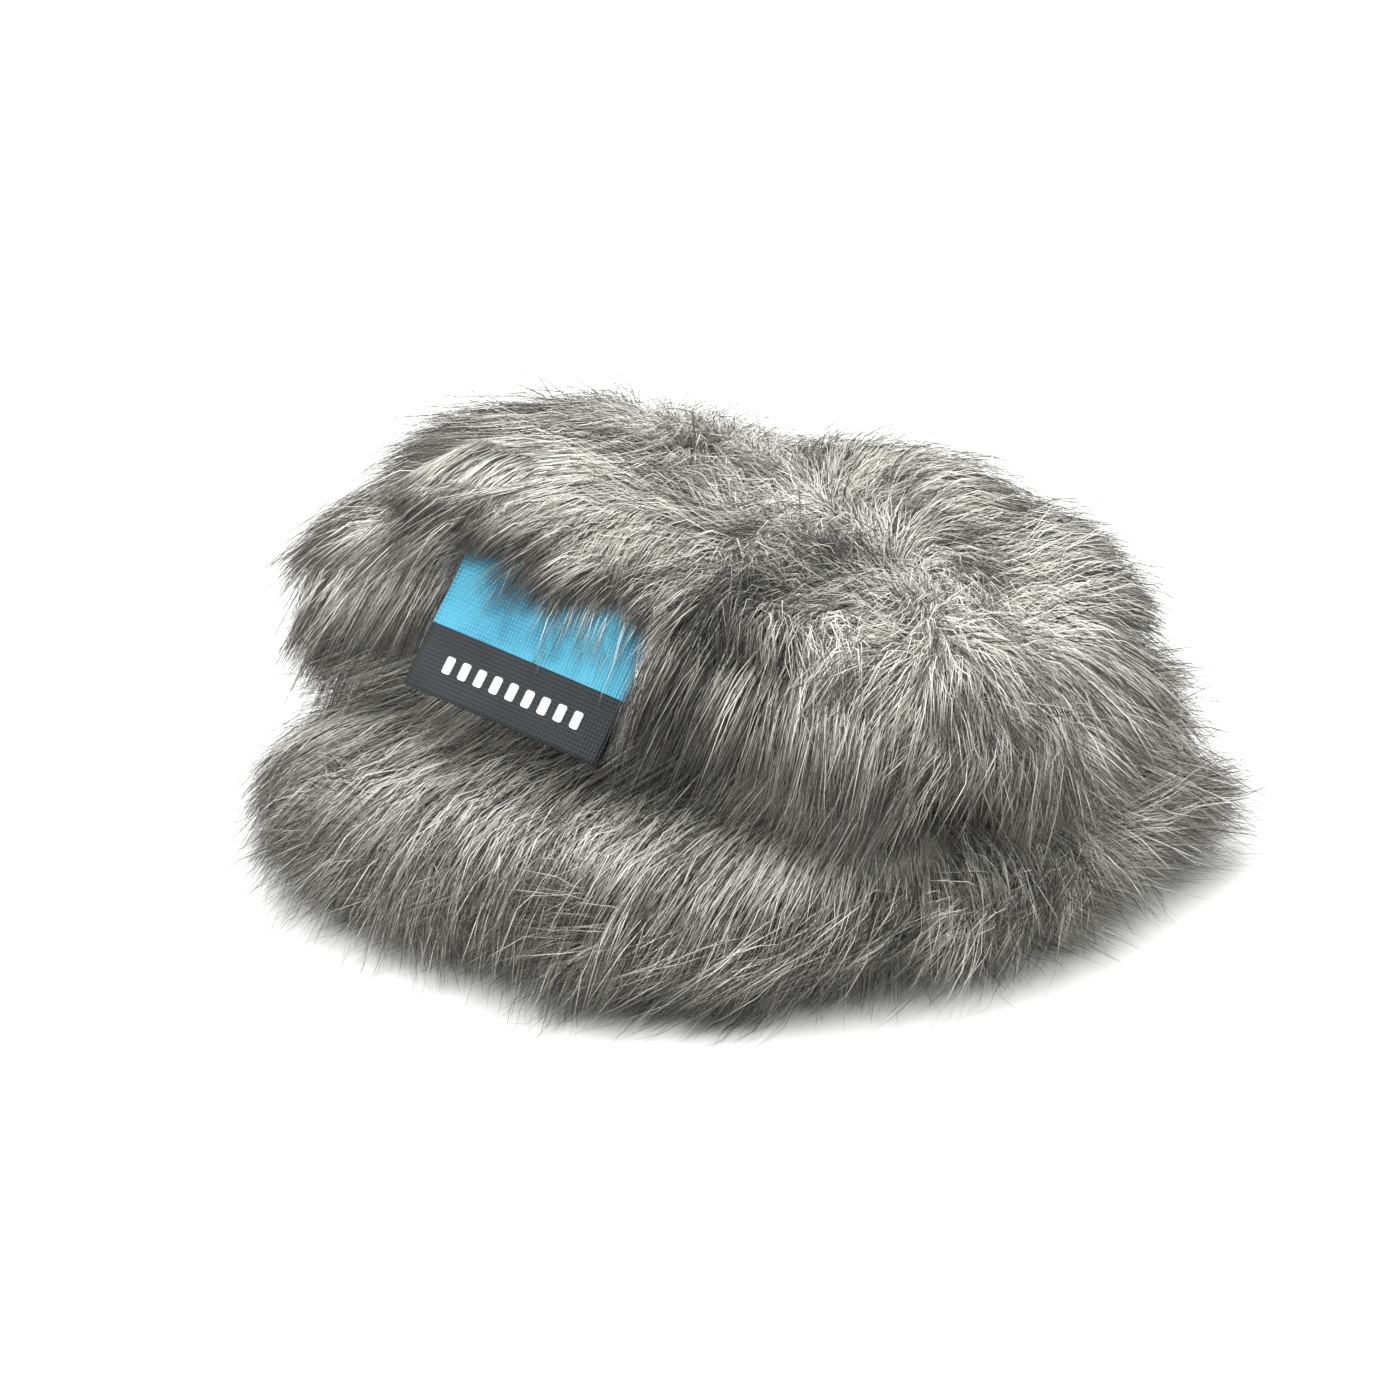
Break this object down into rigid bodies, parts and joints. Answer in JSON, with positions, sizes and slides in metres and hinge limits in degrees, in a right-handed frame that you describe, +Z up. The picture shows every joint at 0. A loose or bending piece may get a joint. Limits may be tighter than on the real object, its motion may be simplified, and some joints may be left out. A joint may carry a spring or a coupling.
{
  "type": "furry windscreen",
  "caption": "Flattened faux-fur sleeve with closed nose and elastic, zipped mouth, folded in half, for a basket windshield.",
  "frame": {"origin": "centre of the footprint, on the table", "axes": "+X across the sleeve, -Y towards the nose and the mouth, +Y towards the fold, +Z up"},
  "size_m": [0.22, 0.214, 0.0929],
  "materials": {
    "fur": "long-pile faux fur on a knitted backing, silver grey with dark tips",
    "seam_tape": "woven twill tape",
    "binding": "woven grosgrain binding",
    "elastic": "braided elastic",
    "thread": "spun polyester thread",
    "zip_tape": "woven polyester tape",
    "zip_coil": "nylon coil",
    "zip_metal": "black lacquered zinc",
    "label": "damask woven ribbon, turquoise with a charcoal end"
  },
  "bodies": {
    "root": {"nose_panel": "fur", "lower_body_panel": "fur", "nose_seam_tape": "seam_tape", "fold_panel": "fur", "lower_seam_tape": "seam_tape"},
    "mouth_half": {"upper_body_panel": "fur", "upper_seam_tape": "seam_tape", "hem_binding": "binding", "hem_elastic": "elastic", "hem_stitching": "thread", "zip_tape_upper": "zip_tape", "zip_tape_lower": "zip_tape", "zip_stitching_upper": "thread", "zip_stitching_lower": "thread", "zip_coil_upper": "zip_coil", "zip_coil_lower": "zip_coil", "zip_top_stops": "zip_metal", "zip_bottom_stop": "zip_coil", "label_stitching": "thread"},
    "slider": {"zip_slider": "zip_metal"},
    "pull": {"zip_pull": "zip_metal"},
    "label": {"woven_label": "label"}
  },
  "joints": [
    {"name": "fold_open", "type": "hinge", "parent": "root", "child": "mouth_half", "pos_m": [0, 0.066, 0.044], "axis": [-1, 0, 0], "range_deg": [0, 180], "deforming": ["fold_panel"]},
    {"name": "zip_slide", "type": "slide", "parent": "mouth_half", "child": "slider", "axis": [0, 1, 0], "range_m": [0, 0.0594]},
    {"name": "pull_swing", "type": "hinge", "parent": "slider", "child": "pull", "pos_m": [-0.0892, -0.0285, 0.0665], "axis": [0, 0, 1], "range_deg": [0, 130]},
    {"name": "label_flap", "type": "hinge", "parent": "mouth_half", "child": "label", "pos_m": [-0.011, -0.0395, 0.086], "axis": [-0.9418, -0.2358, 0.2395], "range_deg": [0, 60]}
  ]
}
